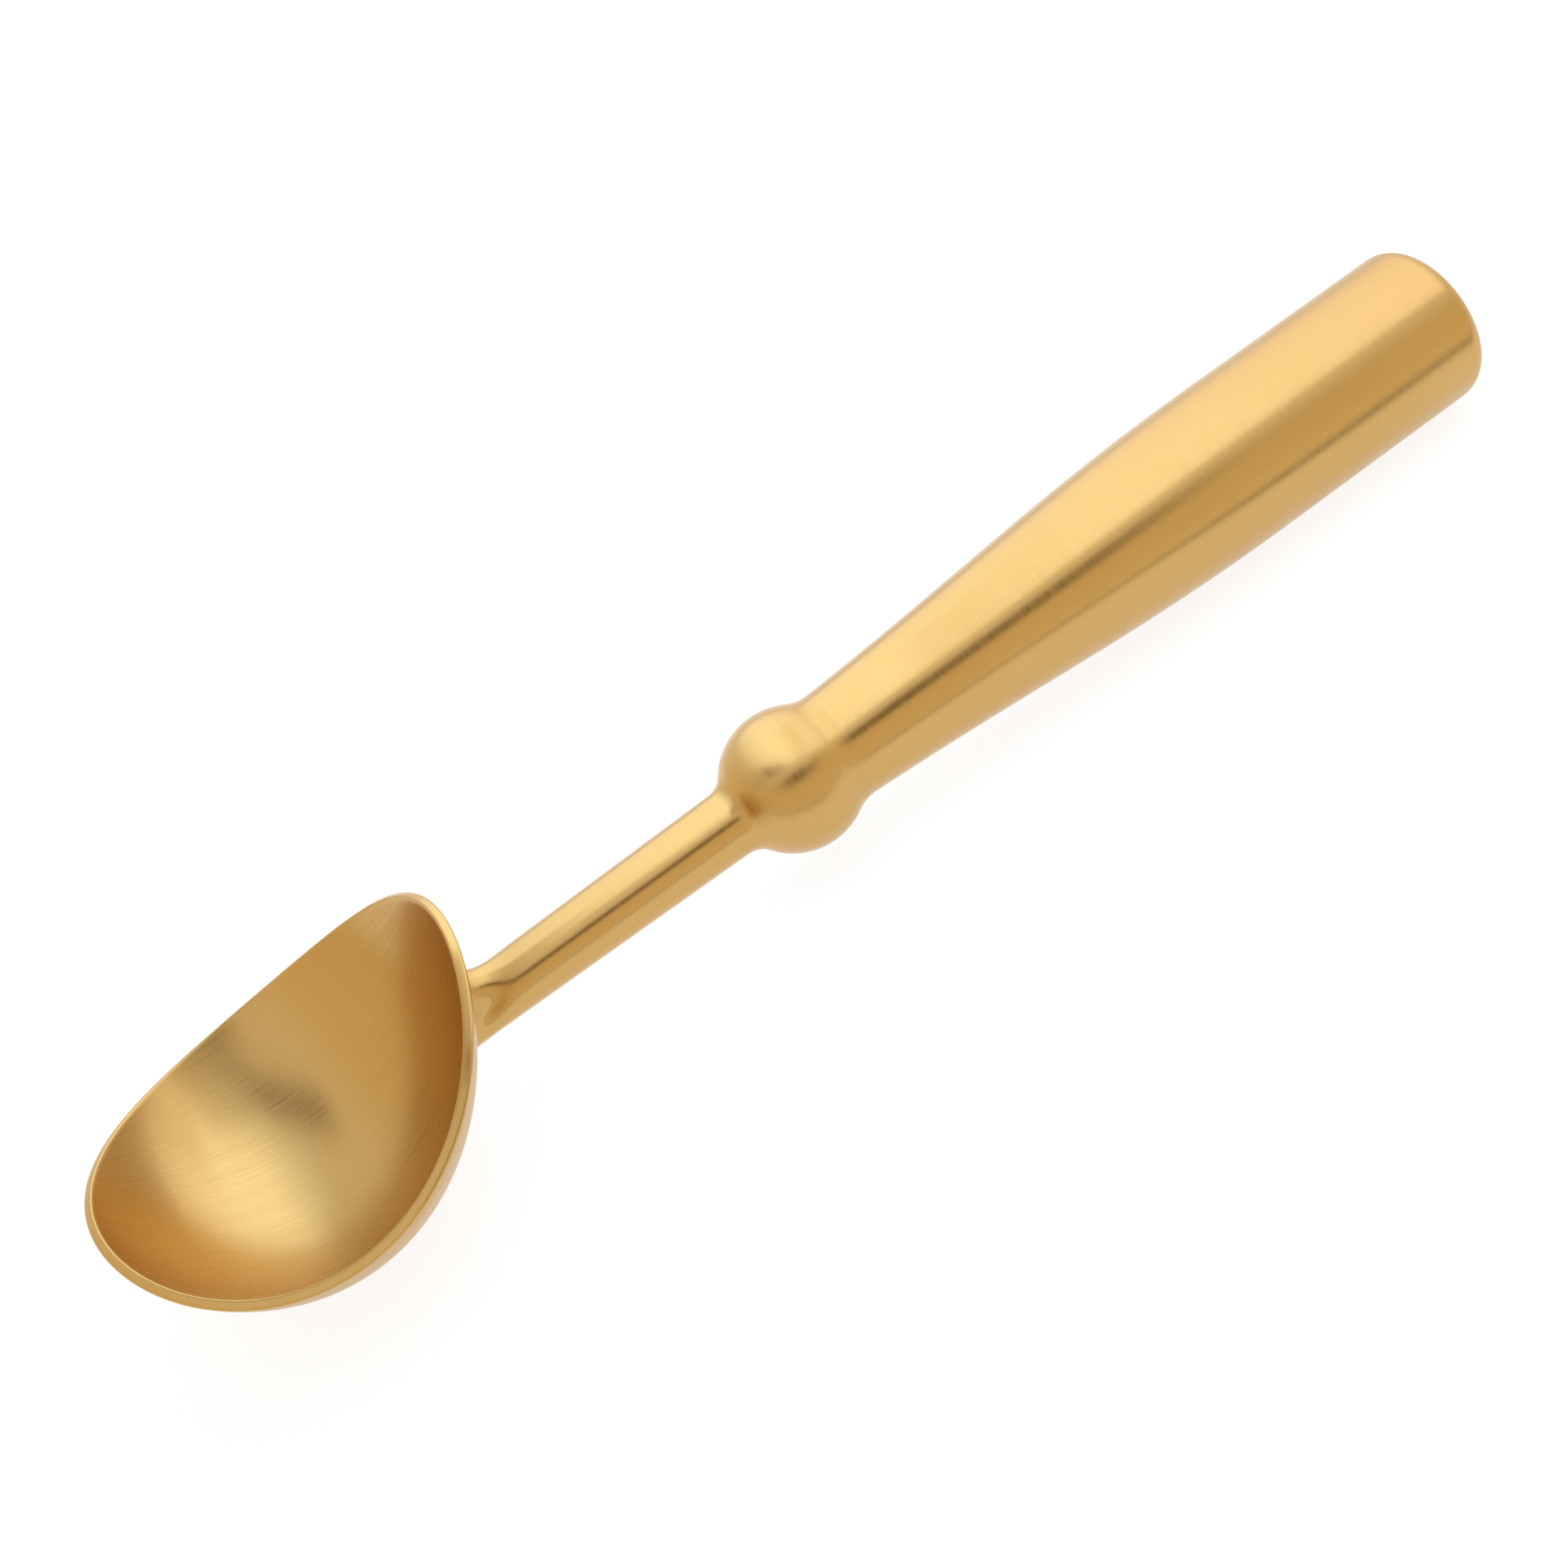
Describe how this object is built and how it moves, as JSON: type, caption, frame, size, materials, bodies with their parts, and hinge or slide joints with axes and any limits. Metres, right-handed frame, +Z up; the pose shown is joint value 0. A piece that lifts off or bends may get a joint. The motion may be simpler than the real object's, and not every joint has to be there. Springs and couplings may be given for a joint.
{
  "type": "ice cream scoop",
  "caption": "Round-bowled ice cream scoop with a slim neck, a ball collar and a hollow tapered handle, in satin gold, for dipping and serving ice cream.",
  "frame": {"origin": "on the table under the middle of the scoop's box, as it lies on the belly of its bowl and on the edge of its butt", "axes": "+X along the handle from the bowl to the butt, +Z up and out of the bowl, Y across, so the scoop is the same on both sides of the XZ plane"},
  "size_m": [0.1974, 0.0516, 0.0271],
  "materials": {
    "gold_bowl": "satin gold coating on stainless steel",
    "gold_neck": "satin gold coating on stainless steel",
    "gold_ball": "satin gold coating on stainless steel",
    "gold_handle": "satin gold coating on stainless steel",
    "gold_cap": "satin gold coating on stainless steel",
    "steel_bush": "plain machined steel, hidden inside the handle",
    "steel_washer": "plain machined steel, hidden inside the handle",
    "steel_spring": "plain machined steel, hidden inside the handle",
    "steel_nut": "plain machined steel, hidden inside the handle"
  },
  "bodies": {
    "root": {"bowl": "gold_bowl", "neck_rod": "gold_neck", "ball_collar": "gold_ball", "handle_sleeve": "gold_handle", "butt_cap": "gold_cap", "taper_bush": "steel_bush", "flat_washer": "steel_washer", "spring_washer": "steel_spring", "hex_nut": "steel_nut"}
  },
  "joints": []
}
